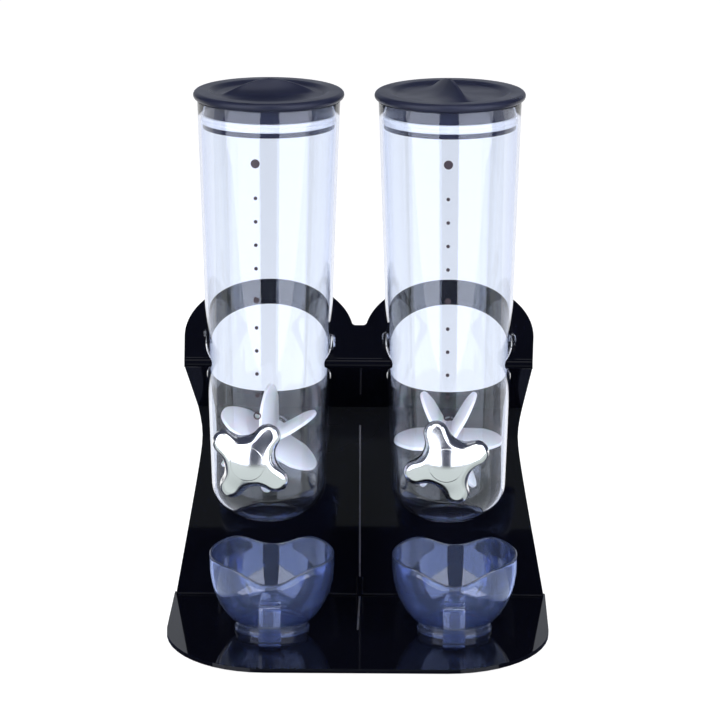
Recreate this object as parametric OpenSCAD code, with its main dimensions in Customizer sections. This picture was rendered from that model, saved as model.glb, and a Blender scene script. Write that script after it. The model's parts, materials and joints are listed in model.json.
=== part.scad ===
// Countertop cereal dispenser: a bent stand with two open holders, two clear tapered canisters,
// each with a press-in lid and a hand-turned paddle wheel, and two clear scoop cups.
// +X is to the right, -Y is the front, +Z is up. The origin is the middle of the footprint on the table.

/* [Base] */
// Width of the base plate
base_w = 270.5; // [264:0.5:330]
// Width of the base plate at its back edge
base_back_w = 267.5; // [262:0.5:330]
// Depth of the base plate, front to back
base_d = 206; // [197:1:260]
// Thickness of the base plate
base_t = 3; // [2.5:0.1:5]
// Width of each rounded front corner
corner_w = 71.5; // [40:0.5:90]
// Depth of each rounded front corner
corner_d = 107; // [50:0.5:130]
// Height of the rubber pads under the base
pad_h = 1.5; // [1:0.1:4]
// Radius of each rubber pad
pad_r = 6; // [4:0.5:9]
// Distance from the base's side edges in to the pads' centres
pad_inset = 34; // [28:1:60]
// Distance from the base's front edge back to the front pads' centres
pad_front = 45; // [35:1:80]
// Distance from the base's back edge forward to the rear pads' centres
pad_rear = 18; // [12:1:40]

/* [Back panel] */
// Thickness of the stand's sheet
sheet_t = 3; // [2.5:0.1:4]
// Space behind the panel's front face, which holds the screw bosses
boss_space = 7; // [7:0.1:10]
// Height of the upright panel above the base
panel_h = 139.5; // [125:0.1:160]
// Half width of the panel at the waist
waist_half = 113.3; // [110:0.1:130]
// Height of the waist above the base
waist_h = 121; // [100:0.5:135]
// Radius of the fillet where the panel meets the base
foot_fillet = 2; // [1:0.1:4]
// Width of the decorative groove down the middle
groove_w = 1.6; // [1:0.1:3]
// Depth of that groove
groove_depth = 0.5; // [0.2:0.1:1]
// How far the groove runs forward along the base
groove_reach = 96; // [40:1:150]

/* [Holder] */
// Distance from the panel's face forward to the holder's nose
nose_reach = 87; // [80:0.5:100]
// Radius of the rounded nose
nose_r = 3.5; // [3.2:0.1:5]
// Slope of the lower holder plate
lower_slope = 30; // [24:0.5:34]
// Slope of the upper holder plate
upper_slope = 25; // [20:0.5:30]
// Radius of each lobe of the upper plate
lobe_r = 59.8; // [56:0.1:64]
// Distance from the panel's face forward to the lobes' centres
lobe_reach = 59.8; // [56:0.1:64]
// How far the web between the lobes reaches behind their centres
web_reach = 10.8; // [4:0.1:16]
// Radius inside the notch between the lobes
notch_r = 3; // [1:0.5:4]
// Half width of the holder at its nose
nose_half = 122.5; // [121:0.5:132]
// Clearance round each canister in its holder opening
holder_gap = 0.6; // [0.4:0.1:1.5]

/* [Canisters] */
// Distance between the two canisters' axes
canister_pitch = 127; // [124:0.5:140]
// Distance from the panel's face forward to the canisters' axes
canister_reach = 67; // [64:0.5:80]
// Outer radius of a canister at its rim
canister_top_r = 50.2; // [50:0.1:54]
// Outer radius where the rounded bottom starts
canister_low_r = 40.5; // [40:0.1:43]
// Wall of a canister
canister_wall = 2; // [1.5:0.1:2.2]
// Height of a canister from its outlet to its rim
canister_h = 300; // [280:1:380]
// Height of the outlet above the base
outlet_h = 77; // [72:1:90]
// Radius of the rounded bottom's curve
bottom_round = 25; // [20:0.5:28]
// Inner radius of the outlet
outlet_r = 19.5; // [17:0.5:24]
// Height of the outlet's collar
outlet_collar = 5; // [4:0.5:10]
// Turn of the left canister in its holder
left_turn = 9.5; // [-10:0.5:12]
// Turn of the right canister in its holder
right_turn = 1; // [-10:0.5:12]
// How far each side lug stands out of the wall
lug_out = 3.2; // [2:0.1:6]
// Width of a side lug
lug_w = 5; // [4:0.5:10]
// Height of a side lug
lug_h = 10; // [8:0.5:20]

/* [Lids] */
// How far the lid's flange stands out past the canister's rim
lid_lip = 2.8; // [2.3:0.1:8]
// Thickness of the lid's flange
lid_t = 6; // [4:0.1:8]
// Depth of the round recess in the top
lid_dish = 2.5; // [1:0.1:2.5]
// Width of the flat border round that recess
lid_border = 9; // [6:0.5:14]
// Distance from the recess's edge in to the ends of the grip ridge
grip_margin = 10; // [8:0.5:18]
// Height of the grip ridge above the flange
grip_rise = 8.5; // [3:0.1:12]
// Width of the grip ridge at its crest
grip_w = 4.5; // [3:0.1:8]
// Width of the grip ridge at its foot
grip_foot_w = 20; // [12:0.5:30]
// Angle of the left lid's grip ridge
left_grip_turn = 12; // [-90:1:90]
// Angle of the right lid's grip ridge
right_grip_turn = -70; // [-90:1:90]
// Length of the skirt inside the canister
skirt_h = 19.5; // [14:0.5:30]
// Wall of the skirt
skirt_wall = 2.5; // [2:0.1:4]
// Gap between the skirt and the canister
skirt_gap = 1.2; // [0.8:0.1:2]
// Height of the gasket band
gasket_h = 6.5; // [4:0.5:8]
// Distance from the flange down to the gasket
gasket_drop = 9.5; // [6:0.5:12]
// Depth of the gasket in the skirt's groove
gasket_seat = 1; // [0.6:0.1:1.4]
// Clearance between the gasket and the canister
gasket_gap = 0.3; // [0.1:0.1:0.6]

/* [Paddle wheels] */
// Height of the wheels' axes above the outlet
wheel_lift = 55.5; // [54:0.5:70]
// Gap between the vanes' tips and the canister's inner wall where its taper starts
vane_gap = 0.1; // [0.1:0.1:6]
// Thickness of a vane
vane_t = 2.4; // [1.5:0.1:3]
// Number of vanes
vane_count = 6; // [4:1:8]
// Room for a bush between the vanes' ends and the inner wall where the taper starts
vane_end_room = 6.5; // [6.5:0.5:12]
// Radius of the paddle's hub
hub_r = 6; // [5:0.5:9]
// Radius of the shaft
shaft_r = 3; // [2.5:0.1:4]
// Running clearance of the shaft in its bushes
running_gap = 0.05; // [0.02:0.01:0.1]
// Wall of a bush
bush_wall = 2; // [1:0.1:3]
// Wall of the canister's sleeve round a bush
sleeve_wall = 2.2; // [1.5:0.1:3]
// How far the front sleeve stands out of the canister
sleeve_out = 9; // [5:0.5:14]
// Turn of the left wheel
left_wheel_turn = 0; // [0:1:59]
// Turn of the right wheel
right_wheel_turn = 30; // [0:1:59]

/* [Knobs] */
// Distance from the canister's axis to the middle of the knob
knob_reach = 71.5; // [66:0.5:80]
// Thickness of the knob's lobes
knob_t = 10; // [8:0.5:14]
// Radius to the tips of the lobes
knob_tip_r = 31; // [26:0.5:38]
// Half width of a lobe
lobe_half = 8.5; // [6:0.5:11]
// Radius of the knob's middle
knob_mid_r = 15.5; // [13:0.5:20]
// Radius of the domed cap
cap_r = 15; // [11:0.5:18]
// Height of the domed cap
cap_h = 6.5; // [3:0.5:9]
// Turn of the left knob
left_knob_turn = 35; // [0:1:89]
// Turn of the right knob
right_knob_turn = 71; // [0:1:89]

/* [Cups] */
// Distance from the panel's face forward to the cups' axes
cup_reach = 92.3; // [90:0.1:110]
// How far the left cup stands to the right of its canister's axis
left_cup_shift = 2.7; // [-8:0.1:8]
// How far the right cup stands to the right of its canister's axis
right_cup_shift = 4.9; // [-8:0.1:8]
// Outer radius at the cup's rim
cup_r = 44.1; // [38:0.1:50]
// Height of the cup's sides
cup_h = 56; // [45:0.5:60]
// Wall of the cup
cup_wall = 1.8; // [1.2:0.1:3]
// Outer radius of the foot ring
foot_r = 26.5; // [20:0.1:32]
// Height of the foot ring
foot_h = 5; // [3:0.5:8]
// Depth of the dips in the rim at the front and the back
rim_dip = 9.2; // [4:0.1:14]
// Half width of those dips
rim_dip_half = 30; // [20:0.5:34]
// Slope of the rim down to the front
rim_slope = 5.4; // [0:0.1:8]
// How far the handle stands out of the cup
handle_out = 12.5; // [10:0.5:20]
// Width of the handle
handle_w = 15.5; // [10:0.5:22]
// Thickness of the handle's strap
handle_t = 2.6; // [2:0.1:4]
// Height of the handle's top
handle_h = 31; // [26:0.5:38]

/* [Fasteners] */
// Radius of the stand's screws
screw_r = 1.5; // [1.2:0.1:2]
// Length of the stand's screws in the panel
screw_len = 11; // [8:0.5:14]
// Spacing of the stand's screws
screw_pitch = 100; // [60:1:110]
// Radius of a knob screw
knob_screw_r = 1.2; // [1:0.1:1.5]

/* [Hidden] */
$fn = 96;
eps = 0.01;
far = 400;

gloss_black = [0.02, 0.02, 0.025];
clear_blue = [0.75, 0.83, 0.95, 0.35];

base_top = pad_h + base_t;
face_y = base_d / 2 - boss_space;
axis_y = face_y - canister_reach;
outlet_z = base_top + outlet_h;
rim_z = outlet_z + canister_h;
round_z = outlet_z + bottom_round;
wheel_z = outlet_z + wheel_lift;
nose_y = face_y - nose_reach + nose_r;
bend_z = base_top + panel_h;
nose_z = bend_z + (face_y - nose_y) * tan(lower_slope) + nose_r;
bush_r = shaft_r + running_gap + bush_wall;
sleeve_r = bush_r + sleeve_wall;

// Outer radius of a canister's tapered wall at height z
function wall_r(z) = canister_low_r + (canister_top_r - canister_low_r) * (z - round_z) / (rim_z - round_z);

wheel_wall = wall_r(wheel_z);
vane_r = canister_low_r - canister_wall - vane_gap;
vane_half = canister_low_r - canister_wall - vane_end_room;
lid_r = canister_top_r + lid_lip;
lid_dish_r = lid_r - lid_border;
grip_half = lid_dish_r - grip_margin;

// ---------- Stand ----------

// Points of one rounded front corner, for side = -1 or 1
function corner(side) = [for (a = [0 : 7.5 : 90]) [
    side * (base_w / 2 - corner_w * (1 - cos(a))),
    -base_d / 2 + corner_d * (1 - sin(a))]];

function reversed(list) = [for (i = [len(list) - 1 : -1 : 0]) list[i]];

module base_outline() {
    polygon(concat([[-base_back_w / 2, base_d / 2]], corner(-1), reversed(corner(1)),
        [[base_back_w / 2, base_d / 2]]));
}

module screw_spots() {
    for (i = [-1 : 1]) translate([i * screw_pitch, face_y + sheet_t, 0]) children();
}

boss_r = boss_space - sheet_t;
boss_cover = 3;
head_r = 2 * screw_r;
head_h = 1.5;

module base_plate() {
    color(gloss_black) difference() {
        translate([0, 0, pad_h]) linear_extrude(base_t) base_outline();
        translate([-groove_w / 2, face_y - groove_reach, base_top - groove_depth])
            cube([groove_w, groove_reach - foot_fillet, 2 * groove_depth]);
        screw_spots() translate([0, 0, pad_h - eps]) cylinder(r = screw_r, h = far);
        screw_spots() translate([0, 0, pad_h - eps]) cylinder(r = head_r, h = head_h + eps);
    }
}

// Half width of the hourglass panel at height z above the base: two slopes joined by a soft waist
waist_soft = 12;
panel_inset = 0.8;
groove_stop = 12;
panel_flare = (base_back_w / 2 - panel_inset - waist_half) / (waist_h - waist_soft);
top_flare = 0.26;
function panel_half(z) = let (dz = z - waist_h)
    waist_half + (top_flare - panel_flare) / 2 * dz
    + (top_flare + panel_flare) / 2 * (sqrt(dz * dz + waist_soft * waist_soft) - waist_soft);

function panel_side(side) = [for (i = [0 : 20]) let (z = panel_h * i / 20) [side * panel_half(z), z + base_top]];

// The holder's outline from above
module holder_plan() {
    lobe_y = face_y - lobe_reach;
    offset(r = -notch_r) offset(delta = notch_r) {
        for (s = [-1, 1]) translate([s * canister_pitch / 2, lobe_y]) circle(lobe_r);
        polygon([[-nose_half, nose_y - nose_r], [nose_half, nose_y - nose_r],
            [canister_pitch / 2 + lobe_r, lobe_y], [canister_pitch / 2, lobe_y + web_reach],
            [-canister_pitch / 2, lobe_y + web_reach], [-canister_pitch / 2 - lobe_r, lobe_y]]);
    }
}

module lower_plan() {
    polygon([[-nose_half, nose_y - nose_r], [nose_half, nose_y - nose_r],
        [panel_half(panel_h), face_y], [panel_half(panel_h), face_y + sheet_t],
        [-panel_half(panel_h), face_y + sheet_t], [-panel_half(panel_h), face_y]]);
}

// Bent sheet seen from the side, [y, z]: x and y of the 2D shape
upper_t = sheet_t / cos(upper_slope);
lower_t = sheet_t / cos(lower_slope);
back_y = face_y + sheet_t;
nose_blend = 0.3;
web_y = nose_y + nose_r * nose_blend;
nose_top = nose_z + nose_r;
nose_low = nose_z - nose_r;
function upper_z(y) = nose_top + (y - nose_y) * tan(upper_slope);
function lower_z(y) = nose_low - (y - nose_y) * tan(lower_slope);

module upper_side() {
    polygon([[nose_y, nose_top], [back_y + 1, upper_z(back_y + 1)], [back_y + 1, upper_z(back_y + 1) - upper_t],
        [web_y, upper_z(web_y) - upper_t], [web_y, nose_z], [nose_y, nose_z]]);
}

module lower_side() {
    polygon([[nose_y, nose_low], [nose_y, nose_z], [web_y, nose_z], [web_y, lower_z(web_y) + lower_t],
        [back_y, lower_z(back_y) + lower_t], [back_y, bend_z - eps], [face_y, bend_z - eps],
        [face_y, bend_z]]);
}

// Turns a side view, drawn as [y, z], into a solid as wide as the stand
module across() {
    translate([-base_w / 2, 0, 0]) rotate([90, 0, 90]) linear_extrude(base_w) children();
}

module panel_sheet() {
    translate([0, back_y, 0]) rotate([90, 0, 0]) linear_extrude(sheet_t)
        polygon(concat(panel_side(-1), reversed(panel_side(1))));
}

module fillet_strip() {
    w = 2 * panel_half(0) - 2;
    translate([-w / 2, face_y, base_top]) rotate([90, 0, 90]) linear_extrude(w) difference() {
        translate([-foot_fillet, 0]) square([foot_fillet + eps, foot_fillet]);
        translate([-foot_fillet, foot_fillet]) circle(foot_fillet);
    }
}

// Space round a canister, following its taper
module canister_space(gap) {
    translate([0, 0, round_z])
        cylinder(r1 = canister_low_r + gap, r2 = canister_top_r + gap, h = rim_z - round_z);
}

module back_panel() {
    color(gloss_black) difference() {
        union() {
            panel_sheet();
            fillet_strip();
            intersection() {
                across() union() {
                    upper_side();
                    translate([nose_y, nose_z]) circle(nose_r);
                }
                linear_extrude(far) holder_plan();
            }
            intersection() {
                across() lower_side();
                linear_extrude(far) lower_plan();
            }
            screw_spots() translate([0, 0, base_top]) cylinder(r = boss_r, h = screw_len + boss_cover);
        }
        for (s = [-1, 1]) translate([s * canister_pitch / 2, axis_y, 0]) canister_space(holder_gap);
        screw_spots() translate([0, 0, base_top - eps]) cylinder(r = screw_r, h = screw_len + eps);
        translate([-groove_w / 2, face_y - groove_depth, base_top + foot_fillet])
            cube([groove_w, 2 * groove_depth, panel_h - groove_stop]);
    }
}

module base_screws() {
    color("silver") screw_spots() {
        translate([0, 0, pad_h]) cylinder(r = head_r, h = head_h);
        translate([0, 0, pad_h]) cylinder(r = screw_r, h = base_t + screw_len);
    }
}

module foot_pad(side, y) {
    color([0.08, 0.08, 0.08]) translate([side * (base_w / 2 - pad_inset), y, 0]) cylinder(r = pad_r, h = pad_h);
}

pad_front_y = -base_d / 2 + pad_front;
pad_rear_y = base_d / 2 - pad_rear;

module foot_pad_front_left() { foot_pad(-1, pad_front_y); }
module foot_pad_front_right() { foot_pad(1, pad_front_y); }
module foot_pad_rear_left() { foot_pad(-1, pad_rear_y); }
module foot_pad_rear_right() { foot_pad(1, pad_rear_y); }

// ---------- Canisters ----------

// Puts children on a canister's axis, turned in its holder
module on_axis(side) {
    translate([side * canister_pitch / 2, axis_y, 0])
        rotate([0, 0, side < 0 ? -left_turn : -right_turn]) children();
}

// Puts children on a wheel's axis: their +Z points out of the canister's front
module on_wheel(side) {
    on_axis(side) translate([0, 0, wheel_z]) rotate([90, 0, 0]) children();
}

// The filled shape of a canister, with its surface moved inwards by inset: a rounded bottom and a taper
arc_steps = 12;
module canister_form(inset) {
    arc_r = bottom_round - inset;
    top = rim_z + (inset > 0 ? 1 : 0);
    rotate_extrude() polygon(concat(
        [[0, top], [0, outlet_z + inset]],
        [for (i = [0 : arc_steps]) let (a = 90 * i / arc_steps)
            [canister_low_r - bottom_round + arc_r * sin(a), round_z - arc_r * cos(a)]],
        [[canister_top_r - inset, top]]));
}

// A lug's foot rests just above the upper plate at the lug's rear edge, which a turned canister moves back
lug_back = lug_w / 2 + 8;
lug_gap = 0.4;
lug_rest = upper_z(axis_y + lug_back) + lug_gap;

// The sleeves and bushes stop short of the paddle
sleeve_start = vane_half + 2.5;
bush_start = vane_half + 2;
bush_proud = 0.8;
rear_sleeve_h = 8;

module canister(side) {
    color(clear_blue) on_axis(side) difference() {
        union() {
            difference() {
                canister_form(0);
                canister_form(canister_wall);
            }
            translate([0, 0, outlet_z]) cylinder(r = outlet_r + canister_wall, h = outlet_collar);
            for (s = [-1, 1]) intersection() {
                translate([s > 0 ? wall_r(lug_rest) - 1 : -wall_r(lug_rest) - lug_out, -lug_w / 2, lug_rest])
                    cube([lug_out + 1, lug_w, lug_h]);
                cylinder(r = wall_r(lug_rest) + lug_out, h = far);
            }
            translate([0, 0, wheel_z]) rotate([90, 0, 0]) translate([0, 0, sleeve_start])
                cylinder(r = sleeve_r, h = wheel_wall + sleeve_out - sleeve_start);
            intersection() {
                translate([0, 0, wheel_z]) rotate([-90, 0, 0]) translate([0, 0, sleeve_start])
                    cylinder(r = sleeve_r, h = canister_wall + rear_sleeve_h);
                canister_form(eps);
            }
        }
        translate([0, 0, outlet_z - 1]) cylinder(r = outlet_r, h = outlet_collar + 2);
        translate([0, 0, wheel_z]) rotate([90, 0, 0]) cylinder(r = bush_r, h = far);
        translate([0, 0, wheel_z]) rotate([-90, 0, 0]) cylinder(r = bush_r, h = far);
    }
}

module bush_ring(length) {
    difference() {
        cylinder(r = bush_r, h = length);
        translate([0, 0, -1]) cylinder(r = shaft_r + running_gap, h = length + 2);
    }
}

module front_bush(side) {
    color([0.93, 0.93, 0.93]) on_wheel(side) translate([0, 0, bush_start])
        bush_ring(wheel_wall + sleeve_out + bush_proud - bush_start);
}

rear_sunk = 0.6;
rear_end = wheel_wall - rear_sunk;
rear_cap = 1.4;

module rear_bush(side) {
    color([0.93, 0.93, 0.93]) on_wheel(side) difference() {
        translate([0, 0, -rear_end]) cylinder(r = bush_r, h = rear_end - bush_start);
        translate([0, 0, -rear_end + rear_cap]) cylinder(r = shaft_r + running_gap, h = far);
    }
}

// ---------- Lids ----------

skirt_bottom = rim_z - skirt_h;
gasket_z = rim_z - gasket_drop - gasket_h;
lid_top = rim_z + eps + lid_t;
skirt_r = wall_r(skirt_bottom) - canister_wall - skirt_gap;
gasket_r = wall_r(gasket_z) - canister_wall - gasket_gap;

// Height of the grip ridge's crest above the flange, at u from -1 to 1 along it
function crest(u) = (grip_rise + lid_dish) * (1 - u * u) - lid_dish;

// Arched ridge along X, wider towards its foot
module grip_ridge() {
    root = -lid_dish - 0.5;  // sunk into the lid
    intersection() {
        rotate([90, 0, 0]) linear_extrude(grip_foot_w, center = true) polygon(concat(
            [for (i = [-12 : 12]) [grip_half * i / 12, crest(i / 12)]], [[grip_half, root], [-grip_half, root]]));
        rotate([90, 0, 90]) linear_extrude(2 * grip_half, center = true)
            polygon([[-grip_foot_w / 2, root], [grip_foot_w / 2, root], [grip_w, 0], [grip_w / 2, grip_rise],
                [-grip_w / 2, grip_rise], [-grip_w, 0]]);
    }
}

module lid(side) {
    grip = side < 0 ? left_grip_turn : right_grip_turn;
    edge = lid_t / 2;
    color([0.05, 0.05, 0.055]) translate([side * canister_pitch / 2, axis_y, 0]) {
        difference() {
            union() {
                translate([0, 0, rim_z + eps]) rotate_extrude() {
                    translate([lid_r - edge, edge]) circle(edge);
                    square([lid_r - edge, lid_t]);
                }
                translate([0, 0, skirt_bottom]) cylinder(r = skirt_r, h = skirt_h + 2 * eps);
            }
            translate([0, 0, lid_top - lid_dish])
                cylinder(r1 = lid_dish_r - lid_dish, r2 = lid_dish_r + 1, h = lid_dish + 1);
            translate([0, 0, skirt_bottom - 1]) cylinder(r = skirt_r - skirt_wall, h = skirt_h + 1);
            translate([0, 0, gasket_z]) difference() {
                cylinder(r = skirt_r + 1, h = gasket_h);
                cylinder(r = skirt_r - gasket_seat, h = gasket_h);
            }
        }
        translate([0, 0, lid_top]) rotate(grip) grip_ridge();
    }
}

module gasket(side) {
    color("white") translate([side * canister_pitch / 2, axis_y, gasket_z]) difference() {
        cylinder(r = gasket_r, h = gasket_h);
        translate([0, 0, -1]) cylinder(r = skirt_r - gasket_seat, h = gasket_h + 2);
    }
}

// ---------- Paddle wheels ----------

knob_back = knob_reach - knob_t / 2;
knob_front = knob_reach + knob_t / 2;
shaft_in_knob = 6;
shaft_end_gap = 0.6;
shaft_front = knob_back + shaft_in_knob;
knob_head_h = 1.6;
head_sunk = 0.4;
head_seat = knob_front - knob_head_h - head_sunk;
pilot_depth = 9;
screw_short = 1;

module shaft(side) {
    start = -rear_end + rear_cap + shaft_end_gap;
    color([0.9, 0.9, 0.92]) on_wheel(side) difference() {
        translate([0, 0, start]) cylinder(r = shaft_r, h = shaft_front - start);
        translate([0, 0, shaft_front - pilot_depth]) cylinder(r = knob_screw_r, h = pilot_depth + 1);
    }
}

module vane() {
    rotate([90, 0, 0]) translate([0, 0, -vane_t / 2]) linear_extrude(vane_t) intersection() {
        circle(vane_r);
        translate([0, -vane_half]) square([vane_r, 2 * vane_half]);
    }
}

module paddle(side) {
    turn = side < 0 ? left_wheel_turn : right_wheel_turn;
    color([0.93, 0.93, 0.96]) on_wheel(side) difference() {
        union() {
            translate([0, 0, -vane_half]) cylinder(r = hub_r, h = 2 * vane_half);
            for (i = [0 : vane_count - 1]) rotate([0, 0, 90 - turn + i * 360 / vane_count]) vane();
        }
        cylinder(r = shaft_r, h = far, center = true);
    }
}

module knob(side) {
    turn = side < 0 ? left_knob_turn : right_knob_turn;
    color([0.85, 0.85, 0.87]) on_wheel(side) difference() {
        translate([0, 0, knob_back]) linear_extrude(knob_t) {
            circle(knob_mid_r);
            for (i = [0 : 3]) rotate(90 - turn + i * 90) {
                translate([0, -lobe_half]) square([knob_tip_r - lobe_half, 2 * lobe_half]);
                translate([knob_tip_r - lobe_half, 0]) circle(lobe_half);
            }
        }
        translate([0, 0, knob_back - 1]) cylinder(r = shaft_r, h = shaft_front - knob_back + 1);
        translate([0, 0, knob_back]) cylinder(r = knob_screw_r, h = knob_t + 1);
        translate([0, 0, head_seat]) cylinder(r = 2 * knob_screw_r, h = 3);
    }
}

module knob_screw(side) {
    color("silver") on_wheel(side) {
        translate([0, 0, head_seat]) cylinder(r = 2 * knob_screw_r, h = knob_head_h);
        translate([0, 0, shaft_front - pilot_depth + screw_short])
            cylinder(r = knob_screw_r, h = head_seat - shaft_front + pilot_depth - screw_short + eps);
    }
}

module knob_cap(side) {
    dome_r = (cap_r * cap_r + cap_h * cap_h) / (2 * cap_h);
    color([0.9, 0.9, 0.92]) on_wheel(side) translate([0, 0, knob_front]) intersection() {
        translate([0, 0, cap_h - dome_r]) sphere(dome_r);
        cylinder(r = cap_r + 1, h = cap_h + 1);
    }
}

// ---------- Cups ----------

// Outer radius of the cup at height z: a soft bowl that ends in an upright wall
bowl_mid = 10;
bowl_top = 48;
function cup_outer(z) = z >= bowl_top ? cup_r
    : bowl_mid + (cup_r - bowl_mid) * sqrt(1 - pow((bowl_top - z) / (bowl_top - 1), 2));

cup_steps = 12;
cup_floor_t = 3.2;
cup_floor = foot_h + cup_floor_t;
foot_wall = 2.2;
cup_tall = cup_h + 6;
function cup_profile(start, inset) = concat(
    [[0, start]],
    [for (i = [0 : cup_steps]) let (z = start + (bowl_top - start) * i / cup_steps) [cup_outer(z) - inset, z]],
    [[cup_r - inset, cup_tall + (inset > 0 ? 1 : 0)], [0, cup_tall + (inset > 0 ? 1 : 0)]]);

dip_r = (rim_dip_half * rim_dip_half + rim_dip * rim_dip) / (2 * rim_dip);

// Everything above the cup's wavy rim
module rim_cut() {
    translate([0, 0, cup_h]) rotate([rim_slope, 0, 0]) {
        translate([-far / 2, -far / 2, 0]) cube([far, far, far / 2]);
        translate([0, 0, dip_r - rim_dip]) rotate([90, 0, 0]) cylinder(r = dip_r, h = far, center = true);
    }
}

handle_front = cup_r + handle_out;
handle_base = 0.8;

module cup(side) {
    shift = side < 0 ? left_cup_shift : right_cup_shift;
    color(clear_blue) translate([side * canister_pitch / 2 + shift, face_y - cup_reach, base_top]) union() {
        difference() {
            rotate_extrude() polygon(cup_profile(foot_h, 0));
            rotate_extrude() polygon(cup_profile(cup_floor, cup_wall));
            rim_cut();
        }
        difference() {
            cylinder(r = foot_r, h = foot_h + 1);
            translate([0, 0, -1]) cylinder(r = foot_r - foot_wall, h = foot_h + 1);
        }
        difference() {
            translate([-handle_w / 2, -handle_front, handle_base])
                cube([handle_w, handle_front - foot_r + 1, handle_h - handle_base]);
            translate([-handle_w, -handle_front + handle_t, handle_base + handle_t])
                cube([2 * handle_w, handle_front, handle_h - handle_base - 2 * handle_t]);
            translate([0, 0, foot_h + 1]) cylinder(r = cup_outer(handle_h - handle_t) - cup_wall / 2, h = far);
        }
    }
}

// ---------- Nodes ----------

base_plate();
back_panel();
base_screws();
foot_pad_front_left();
foot_pad_front_right();
foot_pad_rear_left();
foot_pad_rear_right();
canister(-1);  // canister_left
front_bush(-1);  // front_bush_left
rear_bush(-1);  // rear_bush_left
lid(-1);  // lid_left
gasket(-1);  // gasket_left
shaft(-1);  // shaft_left
paddle(-1);  // paddle_left
knob(-1);  // knob_left
knob_screw(-1);  // knob_screw_left
knob_cap(-1);  // knob_cap_left
cup(-1);  // cup_left
canister(1);  // canister_right
front_bush(1);  // front_bush_right
rear_bush(1);  // rear_bush_right
lid(1);  // lid_right
gasket(1);  // gasket_right
shaft(1);  // shaft_right
paddle(1);  // paddle_right
knob(1);  // knob_right
knob_screw(1);  // knob_screw_right
knob_cap(1);  // knob_cap_right
cup(1);  // cup_right
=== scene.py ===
import json
import math

import bmesh
import bpy
from mathutils import Matrix, Vector


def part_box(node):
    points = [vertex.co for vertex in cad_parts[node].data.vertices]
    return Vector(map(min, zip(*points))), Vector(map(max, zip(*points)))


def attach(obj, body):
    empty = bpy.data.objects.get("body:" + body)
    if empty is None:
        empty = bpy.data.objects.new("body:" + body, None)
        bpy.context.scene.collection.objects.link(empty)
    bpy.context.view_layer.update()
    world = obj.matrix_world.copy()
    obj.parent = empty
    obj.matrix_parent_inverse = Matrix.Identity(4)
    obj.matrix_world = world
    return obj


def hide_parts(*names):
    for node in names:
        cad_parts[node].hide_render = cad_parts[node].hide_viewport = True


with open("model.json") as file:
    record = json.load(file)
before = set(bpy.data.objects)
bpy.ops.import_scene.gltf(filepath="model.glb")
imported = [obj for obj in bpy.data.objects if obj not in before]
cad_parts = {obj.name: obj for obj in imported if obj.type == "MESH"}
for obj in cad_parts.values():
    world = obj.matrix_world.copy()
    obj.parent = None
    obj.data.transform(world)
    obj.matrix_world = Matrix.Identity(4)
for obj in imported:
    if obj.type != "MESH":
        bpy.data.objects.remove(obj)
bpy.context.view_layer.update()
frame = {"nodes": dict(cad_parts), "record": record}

MM = 0.001
SIDES = ("left", "right")
SAME_POINT = 1e-7           # metres: points closer than this are one
SLIVER = 0.005 * MM         # booleans leave faces narrower than this
SMOOTH_ANGLE = 38           # degrees: faces that meet at less are shaded as one surface


# ---------- Places, read from the frame ----------

def middle(node):
    low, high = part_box(node)
    return (Vector(low) + Vector(high)) / 2


def joint_named(name):
    return next(j for j in frame["record"]["behaviour"]["joints"] if j["name"] == name)


base_low, base_high = (Vector(corner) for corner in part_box("base_plate"))
panel_high = Vector(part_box("back_panel")[1])


class Side:
    """One canister with its lid, wheel, knob and cup: the places that their pieces share."""

    def __init__(self, name):
        self.name = name
        self.axis = middle("lid_" + name)
        tube_low, tube_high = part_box("canister_" + name)
        self.outlet_z = tube_low[2]
        self.rim_z = tube_high[2]
        hinge = joint_named("wheel_turn_" + name)
        self.wheel_z = hinge["pos_m"][2]
        out = hinge["axis"]
        self.turn = math.atan2(out[0], -out[1])

    def on_axis(self):
        """Matrix from the canister's own axes, origin on its axis at table height, to the row frame."""
        return Matrix.Translation((self.axis.x, self.axis.y, 0)) @ Matrix.Rotation(self.turn, 4, "Z")

    def on_wheel(self):
        """As on_axis, but +Z points out of the front along the shaft."""
        at_wheel = self.on_axis() @ Matrix.Translation((0, 0, self.wheel_z))
        return at_wheel @ Matrix.Rotation(math.pi / 2, 4, "X")


sides = [Side(name) for name in SIDES]


# ---------- Shapes ----------

def arc(centre, radius, start, end, steps):
    """Points on an arc, angles in degrees."""
    return [(centre[0] + radius * math.cos(math.radians(start + (end - start) * i / steps)),
             centre[1] + radius * math.sin(math.radians(start + (end - start) * i / steps)))
            for i in range(steps + 1)]


def rounded(corners, closed=True, steps=6):
    """An outline through corners (x, y, radius), each rounded to its radius."""
    most = 0.49  # of an edge, for the round at either end
    points = []
    count = len(corners)
    for i, (x, y, radius) in enumerate(corners):
        here = Vector((x, y))
        if radius <= 0 or (not closed and i in (0, count - 1)):
            points.append((x, y))
            continue
        before = Vector(corners[i - 1][:2]) - here
        after = Vector(corners[(i + 1) % count][:2]) - here
        half = before.angle(after) / 2
        reach = min(radius / math.tan(half), before.length * most, after.length * most)
        size = reach * math.tan(half)
        centre = here + (before.normalized() + after.normalized()).normalized() * (size / math.sin(half))
        first = here + before.normalized() * reach - centre
        last = here + after.normalized() * reach - centre
        sweep = math.atan2(first.x * last.y - first.y * last.x, first.dot(last))
        for k in range(steps + 1):
            turned = Matrix.Rotation(sweep * k / steps, 2) @ first
            points.append((centre.x + turned.x, centre.y + turned.y))
    return points


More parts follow.
